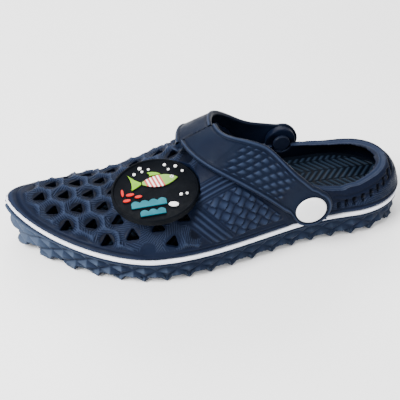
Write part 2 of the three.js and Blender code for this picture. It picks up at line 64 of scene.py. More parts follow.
def clamp01(t):
    return np.clip(t, 0.0, 1.0)


def smooth(t):
    t = clamp01(t)
    return t * t * (3 - 2 * t)


# a smooth hump of height 1
def bump(t, middle, width):
    return np.exp(-(((t - middle) / width) ** 2))


def shareAt(x):
    return np.asarray(x, float) / soleLength + 0.5


# half widths, where s runs from 0 at the toe to 1 at the heel
def localHalf(s):
    return ballHalfWidth - (ballHalfWidth - heelHalfWidth) * smooth((s - 0.34) / 0.46)


def outerHalf(s):
    s = np.asarray(s, float)
    toe = ballHalfWidth * clamp01(1 - clamp01((0.34 - s) / 0.34) ** 1.6) ** (1 / 1.6)
    heel = heelHalfWidth * np.sqrt(clamp01(1 - ((s - 0.84) / 0.16) ** 2))
    return np.where(s < 0.34, toe, np.where(s < 0.84, localHalf(s), heel))


def innerHalf(s):
    return outerHalf(s) * (innerToeSlimness + (1 - innerToeSlimness) * smooth((s - 0.08) / 0.56))


def centreLine(s):
    toeCurve = 14.9 * clamp01(1 - s / 0.45) ** 2
    return centreShift - 3.4 + toeCurve + 4.6 * smooth((s - 0.45) / 0.4) - 0.7 * smooth((s - 0.85) / 0.15)


def stripeZ(s):
    return 18.9 + 11 * clamp01(1 - s / 0.36) ** 1.9 + 1.3 * smooth((s - 0.6) / 0.25)


# the sole's underside, which springs up at the toe
def groundZ(x):
    return toeSpring * clamp01((toeSpringLength - halfLength - x) / toeSpringLength) ** 2


# how high the upper's crown would stand above its base, with no opening cut in it
def crownRise(x):
    front = 16.5 * (1 - (1 - clamp01((x + halfLength) / 75)) ** 2.2) + 40 * smooth((x + 78) / 110)
    heel = 24 * np.sqrt(1 - clamp01((x - 105) / 25) ** 2)
    return front + (heel - front) * smooth((x - 55) / 35)


def upperBaseZ(s):
    return stripeZ(s) + stripeHeight / 2 + fitGap


def outerCollarZ(x):
    return 35.3 + 40.7 * clamp01((85 - x) / 83) ** 1.3 + 4.7 * smooth((x - 85) / 37)


def innerCollarZ(x):
    return 33 + 43 * clamp01((38 - x) / 36) ** 1.6 + 7 * smooth((x - 85) / 37)


# places on the upper's dome, at an angle from 0 on the outer side to pi on the inner
def domePoints(x, angle):
    s = shareAt(x)
    half = np.maximum(0.2, np.where(np.cos(angle) > 0, outerHalf(s), innerHalf(s)) - upperInset)
    y = centreLine(s) - half * np.cos(angle)
    return np.stack([x, y, upperBaseZ(s) + crownRise(x) * np.sin(angle)], -1)


pivotZ = float(upperBaseZ(shareAt(pivotX))) + lobeRadius - lobeOverlap
pivotFaceY = float(outerHalf(shareAt(pivotX))) + lobeOutset

# how far a place of the dome lies from the crown, measured over the arch
arcX = np.linspace(0.1 - halfLength, halfLength - 0.1, 401)
arcAngle = np.linspace(0, math.pi, 241)
arcGrid = domePoints(*np.meshgrid(arcX, arcAngle, indexing="ij"))
arcSteps = np.linalg.norm(np.diff(arcGrid, axis=1), axis=2)
arcTable = np.concatenate([np.zeros((len(arcX), 1)), np.cumsum(arcSteps, axis=1)], 1)
crownColumn = len(arcAngle) // 2
arcTable = arcTable[:, [crownColumn]] - arcTable


def arcAt(x, angle):
    i = clamp01((x - arcX[0]) / (arcX[-1] - arcX[0])) * (len(arcX) - 1)
    j = clamp01(angle / math.pi) * (len(arcAngle) - 1)
    i0 = np.minimum(i.astype(int), len(arcX) - 2)
    j0 = np.minimum(j.astype(int), len(arcAngle) - 2)
    fi, fj = i - i0, j - j0
    low = arcTable[i0, j0] * (1 - fj) + arcTable[i0, j0 + 1] * fj
    high = arcTable[i0 + 1, j0] * (1 - fj) + arcTable[i0 + 1, j0 + 1] * fj
    return low * (1 - fi) + high * fi


# meshes
def link(obj):
    bpy.context.scene.collection.objects.link(obj)
    return obj


def shadeSmooth(mesh, smoothed=True):
    mesh.polygons.foreach_set("use_smooth", [smoothed] * len(mesh.polygons))


def newPiece(name, points, faces):
    mesh = bpy.data.meshes.new(name)
    mesh.from_pydata((np.asarray(points, float) * mm).tolist(), [], faces)
    mesh.validate()
    shape = bmesh.new()
    shape.from_mesh(mesh)
    bmesh.ops.recalc_face_normals(shape, faces=shape.faces)
    shape.to_mesh(mesh)
    shape.free()
    shadeSmooth(mesh)
    return link(bpy.data.objects.new(name, mesh))


def applyModifiers(obj):
    shown = obj.evaluated_get(bpy.context.evaluated_depsgraph_get())
    mesh = bpy.data.meshes.new_from_object(shown)
    obj.modifiers.clear()
    obj.data = mesh
    shadeSmooth(mesh)


# a CAD node's shape with small even faces, softened a little at its edges
def evenCopy(node, name, voxel, rounds):
    shape = bmesh.new()
    shape.from_mesh(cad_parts[node].data)
    bmesh.ops.remove_doubles(shape, verts=shape.verts, dist=2e-6)
    mesh = bpy.data.meshes.new(name)
    shape.to_mesh(mesh)
    shape.free()
    obj = link(bpy.data.objects.new(name, mesh))
    even = obj.modifiers.new("even", "REMESH")
    even.mode = "VOXEL"
    even.voxel_size = voxel * mm
    soften = obj.modifiers.new("soften", "SMOOTH")
    soften.factor = 0.5
    soften.iterations = rounds
    applyModifiers(obj)
    return obj


def pointsOf(obj):
    mesh = obj.data
    flat = np.empty(len(mesh.vertices) * 3)
    mesh.vertices.foreach_get("co", flat)
    normals = np.empty(len(mesh.vertices) * 3)
    mesh.vertices.foreach_get("normal", normals)
    return flat.reshape(-1, 3) / mm, normals.reshape(-1, 3)


def setPoints(obj, points):
    obj.data.vertices.foreach_set("co", (points * mm).ravel())
    obj.data.update()


def setValues(obj, name, values):
    values = np.asarray(values, np.float32)
    kind = "FLOAT" if values.ndim == 1 else "FLOAT_VECTOR"
    layer = obj.data.attributes.new(name, kind, "POINT")
    layer.data.foreach_set("value" if values.ndim == 1 else "vector", values.ravel())


# quads between rows of points, each row closed into a ring or left open
def gridFaces(rows, columns, closed):
    faces = []
    span = columns if closed else columns - 1
    for i in range(rows - 1):
        for j in range(span):
            a = i * columns + j
            b = i * columns + (j + 1) % columns
            faces.append((a, b, b + columns, a + columns))
    return faces


# a piece turned on a lathe: the profile is (radius, height) pairs from its foot to its top
def turnedPiece(name, profile, toPlace, sides=96):
    points = []
    for radius, height in profile:
        for k in range(sides):
            turn = 2 * math.pi * k / sides
            points.append(toPlace(radius * math.cos(turn), radius * math.sin(turn), height))
    faces = gridFaces(len(profile), sides, True)
    faces.append(tuple(range(sides)))
    last = (len(profile) - 1) * sides
    faces.append(tuple(range(last + sides - 1, last - 1, -1)))
    return newPiece(name, points, faces)


# materials
def newMaterial(name):
    material = bpy.data.materials.new(name)
    material.use_nodes = True
    tree = material.node_tree
    tree.nodes.clear()
    out = tree.nodes.new("ShaderNodeOutputMaterial")
    shader = tree.nodes.new("ShaderNodeBsdfPrincipled")
    tree.links.new(shader.outputs[0], out.inputs[0])
    return material, tree, shader


# sets a socket to a number or colour, or links another node's output to it
def wire(tree, value, socket):
    if isinstance(value, (int, float, tuple)):
        socket.default_value = value
    else:
        tree.links.new(value, socket)


def maths(tree, operation, first, second=0.0, third=None):
    node = tree.nodes.new("ShaderNodeMath")
    node.operation = operation
    wire(tree, first, node.inputs[0])
    wire(tree, second, node.inputs[1])
    if third is not None:
        wire(tree, third, node.inputs[2])
    return node.outputs[0]


def mixed(tree, share, first, second):
    node = tree.nodes.new("ShaderNodeMix")
    node.data_type = "RGBA"
    wire(tree, share, node.inputs[0])
    wire(tree, first, node.inputs[6])
    wire(tree, second, node.inputs[7])
    return node.outputs[2]


# a smooth step of a value, from low to high
def stepped(tree, value, low, high, toLow=0.0, toHigh=1.0):
    node = tree.nodes.new("ShaderNodeMapRange")
    node.interpolation_type = "SMOOTHSTEP"
    wire(tree, value, node.inputs[0])
    for k, number in enumerate((low, high, toLow, toHigh)):
        node.inputs[k + 1].default_value = number
    return node.outputs[0]


def noise(tree, place, scale, detail=3.0, roughness=0.55):
    node = tree.nodes.new("ShaderNodeTexNoise")
    wire(tree, place, node.inputs["Vector"])
    node.inputs["Scale"].default_value = scale
    node.inputs["Detail"].default_value = detail
    node.inputs["Roughness"].default_value = roughness
    return node.outputs[0]


def stored(tree, name):
    node = tree.nodes.new("ShaderNodeAttribute")
    node.attribute_name = name
    return node


def objectPlace(tree):
    return tree.nodes.new("ShaderNodeTexCoord").outputs["Object"]


# bumps laid over one another, each as (height, strength, distance)
def bumped(tree, shader, layers):
    last = None
    for height, strength, distance in layers:
        node = tree.nodes.new("ShaderNodeBump")
        node.inputs["Strength"].default_value = strength
        node.inputs["Distance"].default_value = distance
        wire(tree, height, node.inputs["Height"])
        if last is not None:
            tree.links.new(last, node.inputs["Normal"])
        last = node.outputs[0]
    tree.links.new(last, shader.inputs["Normal"])


def rgba(colour):
    return (colour[0], colour[1], colour[2], 1.0)


foamLook = {"hatchPitch": 1.35, "hatchHighlight": 0.5, "cellSize": 9.0, "grain": 2600.0, "speck": 900.0,
            "blotch": 38.0, "gloss": 0.05}


# dark and light are the foam's own two shades; the third colour is a painted highlight for its raised
# places, and its low places get a painted shade
def foamMaterial(name, dark, light, ridgeHighlight, roughness=(0.42, 0.58), hatch=0.0):
    material, tree, shader = newMaterial(name)
    place = objectPlace(tree)
    blotch = noise(tree, place, foamLook["blotch"], 4.0)
    relief = stored(tree, "relief").outputs["Fac"]
    colour = mixed(tree, stepped(tree, blotch, 0.32, 0.68), rgba(dark), rgba(light))
    # painted highlight: raised places, by the relief attribute, are mixed towards the highlight colour
    colour = mixed(tree, stepped(tree, relief, 0.45, 1.0, 0.0, 0.85), colour, rgba(ridgeHighlight))
    # painted shade: low places such as grooves and vent edges are mixed towards a darker copy of the foam
    grooveShade = tuple(0.25 * c for c in dark)
    colour = mixed(tree, stepped(tree, relief, 0.42, 0.0, 0.0, 0.9), colour, rgba(grooveShade))
    grain = noise(tree, place, foamLook["grain"], 2.0)
    speck = noise(tree, place, foamLook["speck"], 2.0)
    layers = [(grain, 0.16, 0.0002), (speck, 0.12, 0.0003)]
    if hatch > 0:
        sheet = stored(tree, "sheet").outputs["Vector"]
        cells = tree.nodes.new("ShaderNodeTexVoronoi")
        cells.inputs["Scale"].default_value = 1 / foamLook["cellSize"]
        cells.inputs["Randomness"].default_value = 0.75
        tree.links.new(sheet, cells.inputs["Vector"])
        split = tree.nodes.new("ShaderNodeSeparateColor")
        tree.links.new(cells.outputs["Color"], split.inputs[0])
        turn = tree.nodes.new("ShaderNodeVectorRotate")
        turn.rotation_type = "Z_AXIS"
        tree.links.new(sheet, turn.inputs["Vector"])
        tree.links.new(maths(tree, "MULTIPLY", split.outputs[0], math.pi), turn.inputs["Angle"])
        apart = tree.nodes.new("ShaderNodeSeparateXYZ")
        tree.links.new(turn.outputs[0], apart.inputs[0])
        turns = maths(tree, "MULTIPLY", apart.outputs[0], 2 * math.pi / foamLook["hatchPitch"])
        wave = maths(tree, "SINE", turns)
        lines = maths(tree, "MULTIPLY_ADD", wave, 0.5, 0.5)
        mask = stored(tree, "hatch").outputs["Fac"]
        masked = maths(tree, "MULTIPLY", lines, mask)
        layers.append((masked, hatch, 0.0005))
        # painted highlight along the hatch lines
        colour = mixed(tree, maths(tree, "MULTIPLY", masked, foamLook["hatchHighlight"]), colour, rgba(ridgeHighlight))
    tree.links.new(colour, shader.inputs["Base Color"])
    rough = stepped(tree, noise(tree, place, 160.0, 3.0), 0.3, 0.7, roughness[0], roughness[1])
    tree.links.new(rough, shader.inputs["Roughness"])
    shader.inputs["Specular IOR Level"].default_value = foamLook["gloss"]
    bumped(tree, shader, layers)
    return material


def vinylMaterial(name, dark, light, roughness=(0.36, 0.5), grain=0.12, gloss=0.25):
    material, tree, shader = newMaterial(name)
    place = objectPlace(tree)
    colour = mixed(tree, stepped(tree, noise(tree, place, 120.0, 4.0), 0.3, 0.7), rgba(dark), rgba(light))
    tree.links.new(colour, shader.inputs["Base Color"])
    rough = stepped(tree, noise(tree, place, 300.0), 0.3, 0.7, roughness[0], roughness[1])
    tree.links.new(rough, shader.inputs["Roughness"])
    shader.inputs["Specular IOR Level"].default_value = gloss
    bumped(tree, shader, [(noise(tree, place, 1500.0, 2.0), grain, 0.0002)])
    return material


# each foam's dark and light colours, and the painted highlight colour of its raised places
foams = {
    "upper": ((0.0022, 0.0042, 0.0125), (0.0036, 0.0066, 0.0175), (0.021, 0.032, 0.064)),
    "strap": ((0.0026, 0.005, 0.0135), (0.004, 0.0076, 0.0185), (0.027, 0.04, 0.076)),
    "sole": ((0.0055, 0.0098, 0.024), (0.0085, 0.0145, 0.031), (0.05, 0.069, 0.108)),
    "bed": ((0.0013, 0.003, 0.0065), (0.0022, 0.0046, 0.0095), (0.009, 0.0165, 0.029)),
}
upperMaterial = foamMaterial("upper_foam", *foams["upper"], hatch=0.7)
strapMaterial = foamMaterial("strap_foam", *foams["strap"])
soleMaterial = foamMaterial("sole_foam", *foams["sole"], (0.42, 0.56))
bedMaterial = foamMaterial("bed_foam", *foams["bed"], (0.5, 0.65))
coreMaterial = vinylMaterial("core_foam", (0.025, 0.035, 0.07), (0.035, 0.05, 0.09), (0.6, 0.75), 0.3)
stripeMaterial = vinylMaterial("stripe_paint", (0.72, 0.74, 0.84), (0.8, 0.82, 0.9), (0.4, 0.55), 0.2)
rivetMaterial = vinylMaterial("rivet_plastic", (0.74, 0.745, 0.76), (0.8, 0.8, 0.8), (0.3, 0.42), 0.1)
postMaterial = vinylMaterial("post_plastic", (0.004, 0.006, 0.014), (0.006, 0.009, 0.019), (0.35, 0.45),
                             grain=0.1, gloss=0.1)
blackMaterial = vinylMaterial("black_vinyl", (0.0012, 0.0018, 0.003), (0.002, 0.0028, 0.0045), (0.5, 0.64),
                              grain=0.25, gloss=0.03)
greenMaterial = vinylMaterial("green_vinyl", (0.13, 0.3, 0.01), (0.17, 0.37, 0.015), gloss=0.12)
redMaterial = vinylMaterial("red_vinyl", (0.4, 0.01, 0.008), (0.5, 0.015, 0.012), gloss=0.12)
whiteMaterial = vinylMaterial("white_vinyl", (0.8, 0.8, 0.8), (0.88, 0.88, 0.87))
tealMaterial = vinylMaterial("teal_vinyl", (0.004, 0.09, 0.12), (0.008, 0.125, 0.16), gloss=0.12)
print("materials ready")


# the upper: the CAD shell made fine, laid back onto the true dome and given its relief
upper = {
    "ventStart": -108.0, "ventPitch": 15.5, "ventRadius": 4.4, "rowStart": 5.0, "rowPitch": 12.5,
    "pillow": 2.0, "lean": 0.7,
    "ridges": 1.1, "ridgePitch": 3.0, "ridgeBand": 12.4,
    "weave": 1.6, "weavePitch": 5.4,
    "slotDepth": 2.0, "slotWidth": 2.7, "slotHeight": 5.0,
    "bead": 0.8, "rimGroove": 0.55,
}
# the side panel's corners as station and distance from the crown, and the heel's slots as
# station and height above the stripe
panelCorners = [(-12.0, 41.0), (11.5, 38.2), (43.0, 67.9), (10.0, 70.3)]
slots = [(79, 6.2), (84.5, 6.6), (90, 7.2), (96, 8.2), (102, 9.6)]
slots += [(107.5, 11), (112.5, 12.6), (117, 14.3), (121, 15.6)]
charmSpot = (-37.4, -22.183, 54.240)


# how far a place lies outside each of the side panel's four edges
def panelGaps(x, sheet):
    gaps = []
    for k in range(4):
        ax, ay = panelCorners[k]
        bx, by = panelCorners[(k + 1) % 4]
        length = math.hypot(bx - ax, by - ay)
        gaps.append(((by - ay) * (x - ax) - (bx - ax) * (sheet - ay)) / length)
    return gaps


# distance to the nearest vent's middle, and which way the foam leans there
def ventField(x, arc):
    row = (arc - upper["rowStart"]) / upper["rowPitch"]
    nearest = np.full(len(x), 99.0)
    lean = np.zeros(len(x))
    for r in (np.floor(row), np.floor(row) + 1):
        shift = np.where(np.abs(r) % 2 == 1, upper["ventPitch"] / 2, 0.0)
        k = np.round((x - upper["ventStart"] - shift) / upper["ventPitch"])
        offX = x - (upper["ventStart"] + k * upper["ventPitch"] + shift)
        offArc = arc - upper["rowStart"] - r * upper["rowPitch"]
        gap = np.hypot(offX, offArc)
        lean = np.where(gap < nearest, (0.8 * offX - 0.6 * offArc) / 8, lean)
        nearest = np.minimum(nearest, gap)
    return nearest, lean


# basket weave of raised strands, each rising towards one end
def weave(x, sheet):
    along = (0.78 * x + 0.62 * sheet) / upper["weavePitch"]
    across = (-0.62 * x + 0.78 * sheet) / upper["weavePitch"]
    partAlong = along - np.floor(along)
    partAcross = across - np.floor(across)
    lengthwise = np.sin(math.pi * partAlong) ** 0.6 * (0.45 + 0.55 * partAcross)
    crosswise = np.sin(math.pi * partAcross) ** 0.6 * (0.45 + 0.55 * partAlong)
    return np.where((np.floor(along) + np.floor(across)) % 2 == 0, lengthwise, crosswise)


# height of the relief over the dome, the place on the opened sheet, and where the fine hatch lies
def upperRelief(x, angle, z):
    arc = arcAt(x, angle)
    sheet = np.abs(arc)
    above = z - upperBaseZ(shareAt(x))
    collar = np.where(arc > 0, outerCollarZ(x), innerCollarZ(x))
    below = np.where(x > 0, collar - z, 50.0)
    # pillows between the vents
    nearest, lean = ventField(x, arc)
    pillow = upper["pillow"] * (clamp01((nearest - upper["ventRadius"]) / 4.2) - 0.4)
    pillow = pillow + upper["lean"] * lean * smooth((nearest - 4) / 2)
    vampShare = smooth((above - 4.5) / 2.5) * smooth((-12 - x + 0.25 * np.maximum(0, 30 - sheet)) / 4)
    height = pillow * vampShare
    # ridges along the side panel's front and lower edges, and the weave in it
    gaps = panelGaps(x, sheet)
    beyond = np.maximum(gaps[0], gaps[3])
    onSide = smooth((above - 5.0) / 1.5) * smooth((sheet - 26) / 3)
    ridged = onSide * smooth((beyond - 0.2) / 0.8) * smooth((upper["ridgeBand"] - beyond) / 1.2)
    ridged = ridged * smooth((52 - x) / 6)
    ridges = upper["ridges"] * (0.5 + 0.5 * np.cos(2 * math.pi * beyond / upper["ridgePitch"]))
    height = height * (1 - ridged) + ridged * ridges
    panel = onSide * smooth((0.1 - np.maximum.reduce(gaps)) / 0.8)
    height = height * (1 - panel) + panel * (upper["weave"] * weave(x, sheet) - 0.25)
    # the heel wall's slots, and the grooves under its rim
    for slotX, slotUp in slots:
        dent = smooth((upper["slotWidth"] / 2 - np.abs(x - slotX)) / 0.5)
        dent = dent * smooth((upper["slotHeight"] / 2 - np.abs(above - slotUp)) / 0.6)
        height = height - upper["slotDepth"] * dent
    grooves = bump(below, 2.6, 0.55) + bump(below, 5.4, 0.6)
    height = height - 0.5 * grooves * smooth((x - 12) / 6)
    # welt beads along the base
    bead = bump(above, 1.5, 0.95) + 0.55 * bump(above, 4.2, 0.7) - 0.55 * bump(above, 3.0, 0.5)
    height = height * smooth((above - 3.0) / 2.0) + upper["bead"] * bead
    # fine hatch on the pillows and the heel wall
    onPillows = vampShare * (1 - ridged) * smooth((nearest - upper["ventRadius"]) / 1.2)
    onHeel = 0.8 * smooth((x - 70) / 5) * smooth(above - 4) * smooth(below - 6.5)
    return height, arc, np.clip(onPillows + onHeel, 0, 1)


def makeUpper():
    obj = evenCopy("upper_shell", "upper", 0.6, 5)
    points, normals = pointsOf(obj)
    x = points[:, 0]
    s = shareAt(x)
    offset = points[:, 1] - centreLine(s)
    half = np.maximum(0.2, np.where(offset < 0, outerHalf(s), innerHalf(s)) - upperInset)
    rise = np.maximum(0.3, crownRise(x))
    side = -offset / half
    up = (points[:, 2] - upperBaseZ(s)) / rise
    reach = np.hypot(side, up)
    angle = np.arctan2(np.maximum(up, 0), side)
    # the dome's outward direction, from a small step along it and a small turn over it
    step, turn, last = 0.4, 0.02, halfLength - 0.2
    ahead = domePoints(np.minimum(x + step, last), angle) - domePoints(np.maximum(x - step, -last), angle)
    over = domePoints(x, angle + turn) - domePoints(x, angle - turn)
    outward = np.cross(over, ahead)
    outward /= np.maximum(1e-9, np.linalg.norm(outward, axis=1))[:, None]
    outward *= np.where(outward[:, 2] < 0, -1.0, 1.0)[:, None]
    gap = ((domePoints(x, angle) - points) * outward).sum(1)
    facing = (normals * outward).sum(1)
    nearPivot = np.hypot(x - pivotX, points[:, 2] - pivotZ)
    offEar = smooth((nearPivot - 17.5) / 2.5)
    onOuter = smooth((facing - 0.45) / 0.35) * smooth((1.5 - np.abs(gap)) / 0.6) * offEar * (reach > 0.8)
    height, arc, hatch = upperRelief(x, angle, points[:, 2])
    charmGap = np.hypot(x - charmSpot[0], points[:, 1] - charmSpot[1])
    height = height * smooth((charmGap - 24.5) / 4.0)
    fromEnds = smooth((halfLength - np.abs(x)) / 3.0)
    points = points + outward * (onOuter * (gap + height) * fromEnds)[:, None]
    # two fine grooves round the top of the rim
    rimShare = (1 - reach) * half / wallThickness
    onRim = smooth((normals[:, 2] - 0.7) / 0.2) * smooth((x - 14) / 5) * (1 - onOuter)
    onRim = onRim * (rimShare > 0) * (rimShare < 1)
    points[:, 2] -= upper["rimGroove"] * onRim * (bump(rimShare, 0.3, 0.1) + bump(rimShare, 0.68, 0.1))
    setPoints(obj, points)
    # painted light: raised relief is painted lighter and low relief darker, and the top of the rim gets a
    # painted highlight
    relief = np.clip(0.42 + 0.36 * height * onOuter, 0, 1)
    relief = np.where(onRim > 0.3, 0.72, relief)
    # painted shade on the shoe's inside walls
    inner = smooth((0.985 - reach) / 0.03) * smooth((0.75 - normals[:, 2]) / 0.3) * (facing < 0.3)
    relief = relief * (1 - inner) + 0.06 * inner
    setValues(obj, "relief", relief)
    setValues(obj, "sheet", np.stack([x, arc, np.zeros(len(x))], 1))
    setValues(obj, "hatch", hatch * onOuter)
    obj.data.materials.append(upperMaterial)
    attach(obj, "shoe")
    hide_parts("upper_shell")
    print("upper", len(x))


makeUpper()


# steps from 0 to 1 that lie closer together at both ends
def easedSteps(count):
    return (1 - np.cos(np.linspace(0, math.pi, count))) / 2


# the sole's outline as a fine closed line, with its outward direction
def outlineLine(inset, count=700):
    tipGap = 0.0006
    s = tipGap + (1 - 2 * tipGap) * easedSteps(count)
    x = (s - 0.5) * soleLength * (1 - inset / halfLength)
    at = shareAt(x)
    narrow = 1 - inset / localHalf(s)
    outerY = centreLine(at) - outerHalf(at) * narrow
    innerY = centreLine(at) + innerHalf(at) * narrow
    back = np.stack([x[::-1], innerY[::-1]], 1)[1:-1]
    line = np.concatenate([np.stack([x, outerY], 1), back])
    span = np.roll(line, -1, 0) - np.roll(line, 1, 0)
    out = np.stack([span[:, 1], -span[:, 0]], 1)
    out /= np.maximum(1e-9, np.linalg.norm(out, axis=1))[:, None]
    return line, out


outsole = {"inset": 0.6, "bandHeight": 3.6, "facetDepth": 2.6, "facetHeight": 9.0, "lugPitch": 14.0,
           "bead": 0.4, "seam": 0.8, "toeGuard": 1.6}


# the outsole: the CAD sole made fine, its side cut into diamond facets under a plain band
def makeOutsole():
    obj = evenCopy("outsole", "outsole_tread", 0.62, 1)
    points, normals = pointsOf(obj)
    line, out = outlineLine(outsole["inset"])
    tree = KDTree(len(line))
    for k, spot in enumerate(line):
        tree.insert((spot[0], spot[1], 0), k)
    tree.balance()
    level = np.hypot(normals[:, 0], normals[:, 1])
    s = shareAt(points[:, 0])
    top = stripeZ(s) - stripeHeight / 2 - fitGap
    height = np.zeros(len(points))
    for i in np.nonzero(level > 0.5)[0]:
        place, k, far = tree.find((points[i, 0], points[i, 1], 0))
        if far > 1.6:
            continue
        gap = (line[k] - points[i, :2]) @ out[k]
        facing = normals[i, :2] @ out[k]
        if facing < 0.5:
            continue
        fromTop = top[i] - points[i, 2]
        down = top[i] - outsole["bandHeight"] - points[i, 2]
        p = points[i, 0] / outsole["lugPitch"] + down / outsole["facetHeight"] + 0.5
        q = points[i, 0] / outsole["lugPitch"] - down / outsole["facetHeight"] + 0.5
        p -= math.floor(p)
        q -= math.floor(q)
        peak = 2 * min(p, 1 - p, q, 1 - q)
        share = min(1.0, max(0.0, down / 0.5))
        dent = -outsole["facetDepth"] * (1 - peak) * share
        low = smooth(np.float64((points[i, 2] - groundZ(points[i, 0]) - 1.0) / 3.0))
        bead = outsole["bead"] * math.exp(-(((down + 2.2) / 0.9) ** 2))
        seam = outsole["seam"] * math.exp(-(((down + 0.1) / 0.5) ** 2))
        seam += 0.9 * float(smooth((1.1 - fromTop) / 0.6))
        toe = float(smooth((-98 - points[i, 0]) / 20)) * float(smooth((fromTop - 0.8) / 0.8))
        height[i] = dent * low + bead - seam + outsole["toeGuard"] * toe
        points[i, :2] += out[k] * ((gap if abs(gap) < 1.0 else 0.0) + height[i])
    setPoints(obj, points)
    points, normals = pointsOf(obj)
    # painted light: facets that face the toe or the sky are painted paler, those that face down darker,
    # raised facets lighter, and a painted shade runs in the seam groove under the stripe
    relief = 0.55 + 0.45 * clamp01(-normals[:, 0]) + 0.25 * clamp01(normals[:, 2])
    relief = relief - 0.2 * clamp01(-normals[:, 2])
    relief = relief + 0.1 * height - 0.8 * bump(top - points[:, 2], 0.0, 1.2)
    setValues(obj, "relief", np.clip(relief, 0, 1))
    obj.data.materials.append(soleMaterial)
    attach(obj, "shoe")
    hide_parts("outsole")
    print("outsole", len(points))


makeOutsole()


# the stripe's section, as (distance outward, height) from its own middle line
stripe = {"section": [(-3.9, -1.25), (-0.3, -1.3), (0.1, -1.22), (0.3, -0.95), (0.4, 0.0),
                      (0.3, 0.95), (0.1, 1.22), (-0.3, 1.3), (-3.9, 1.25)]}


def makeStripe():
    line, out = outlineLine(0.0)
    points = []
    for spot, way in zip(line, out):
        z = float(stripeZ(shareAt(spot[0])))
        for push, lift in stripe["section"]:
            place = spot + way * push
            points.append((place[0], place[1], z + lift))
    count = len(stripe["section"])
    faces = gridFaces(len(line), count, True)
    last = (len(line) - 1) * count
    for j in range(count):
        faces.append((last + j, last + (j + 1) % count, (j + 1) % count, j))
    obj = newPiece("stripe", points, faces)
    obj.data.materials.append(stripeMaterial)
    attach(obj, "shoe")
    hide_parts("foxing_stripe")
    print("stripe", len(points))


makeStripe()

footbed = {"inset": 5.3, "toeShare": 0.075, "heelShare": 0.998, "floorGap": 1.3, "thickness": 2.3,
           "barPitch": 4.6, "barDepth": 0.8, "zigzag": 11.0, "plainEdge": 3.5}


def makeFootbed():
    columns, rows = 300, 130
    s = footbed["toeShare"] + (footbed["heelShare"] - footbed["toeShare"]) * easedSteps(columns)
    x = (s - 0.5) * soleLength * (1 - footbed["inset"] / halfLength)
    at = shareAt(x)
    narrow = 1 - footbed["inset"] / localHalf(s)
    outerY = centreLine(at) - outerHalf(s) * narrow
    innerY = centreLine(at) + innerHalf(s) * narrow
    across = np.linspace(0, 1, rows)
    y = outerY[:, None] * (1 - across) + innerY[:, None] * across
    xx = np.repeat(x[:, None], rows, 1)
    edge = np.minimum(across, 1 - across)[None, :] * (innerY - outerY)[:, None]
    edge = np.minimum(edge, (x[:, None] - x[0]) * 2)
    edge = np.minimum(edge, (x[-1] - x[:, None]) * 2)
    # bars that run in a zigzag, with a plain seam down each turn of it
    fold = (y - centreShift) / footbed["zigzag"]
    zig = np.abs(fold % 2 - 1) * footbed["zigzag"] * 0.8
    bars = smooth((0.25 + 0.5 * np.cos(2 * math.pi * (xx + zig) / footbed["barPitch"])) / 0.45)
    seam = smooth(np.abs((fold + 0.5) % 1 - 0.5) * footbed["zigzag"] / 0.7 - 0.2)
    raised = bars * seam * smooth((edge - footbed["plainEdge"]) / 1.5)
    low = stripeZ(at) + footbed["floorGap"]
    lip = 0.3 * smooth((3.0 - edge) / 2.0) * smooth(edge / 0.8)
    z = low[:, None] + footbed["thickness"] + footbed["barDepth"] * (raised - 1.0) + lip
    topPoints = np.stack([xx, y, z], -1).reshape(-1, 3)
    bottom = np.stack([xx, y, np.repeat((low + 0.05)[:, None], rows, 1)], -1).reshape(-1, 3)
    count = len(topPoints)
    faces = gridFaces(columns, rows, False)
    faces += [tuple(count + k for k in face[::-1]) for face in faces]
    rim = [i * rows for i in range(columns)] + [(columns - 1) * rows + j for j in range(1, rows)]
    rim += [i * rows + rows - 1 for i in range(columns - 2, -1, -1)] + [j for j in range(rows - 2, 0, -1)]
    for k in range(len(rim)):
        a, b = rim[k], rim[(k + 1) % len(rim)]
        faces.append((a, b, count + b, count + a))
    obj = newPiece("footbed_top", np.concatenate([topPoints, bottom]), faces)
    # painted light: the raised bars are painted lighter and the grooves between them darker
    relief = np.concatenate([(0.15 + 0.8 * raised).ravel(), np.full(count, 0.4)])
    setValues(obj, "relief", relief)
    obj.data.materials.append(bedMaterial)
    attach(obj, "shoe")
    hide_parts("footbed")
    print("footbed", count)


makeFootbed()

# the strap, in its own two directions: along from the pivot and across
strap = {
    "thickness": 2.8, "halfWidth": 12.4, "reach": 78.0, "rise": math.radians(29.5), "crownGap": 7.0,
    "innerSag": 9.0, "outerBow": 11.0, "innerShare": 0.8, "flatRadius": 12.25, "holeRadius": 3.4,
    "scale": 1.45, "scaleLength": 5.2, "scaleWidth": 3.7, "scalesFrom": 17.0, "scalesTo": 57.0,
    "bead": 0.75, "groove": 0.35, "roundEdge": 0.8,
}


# a strap place seen from the side, before it is bent over the shoe
def strapSide(along, across, side):
    share = clamp01(along / strap["reach"])
    swell = np.sin(math.pi * share)
    sag = strap["innerSag"] * swell ** 1.2 if side > 0 else -strap["outerBow"] * swell
    tilt = np.radians(60.5 - 37 * smooth(share))
    x = pivotX - along * math.cos(strap["rise"]) + across * np.cos(tilt)
    z = pivotZ + along * math.sin(strap["rise"]) - sag + across * np.sin(tilt)
    return x, z


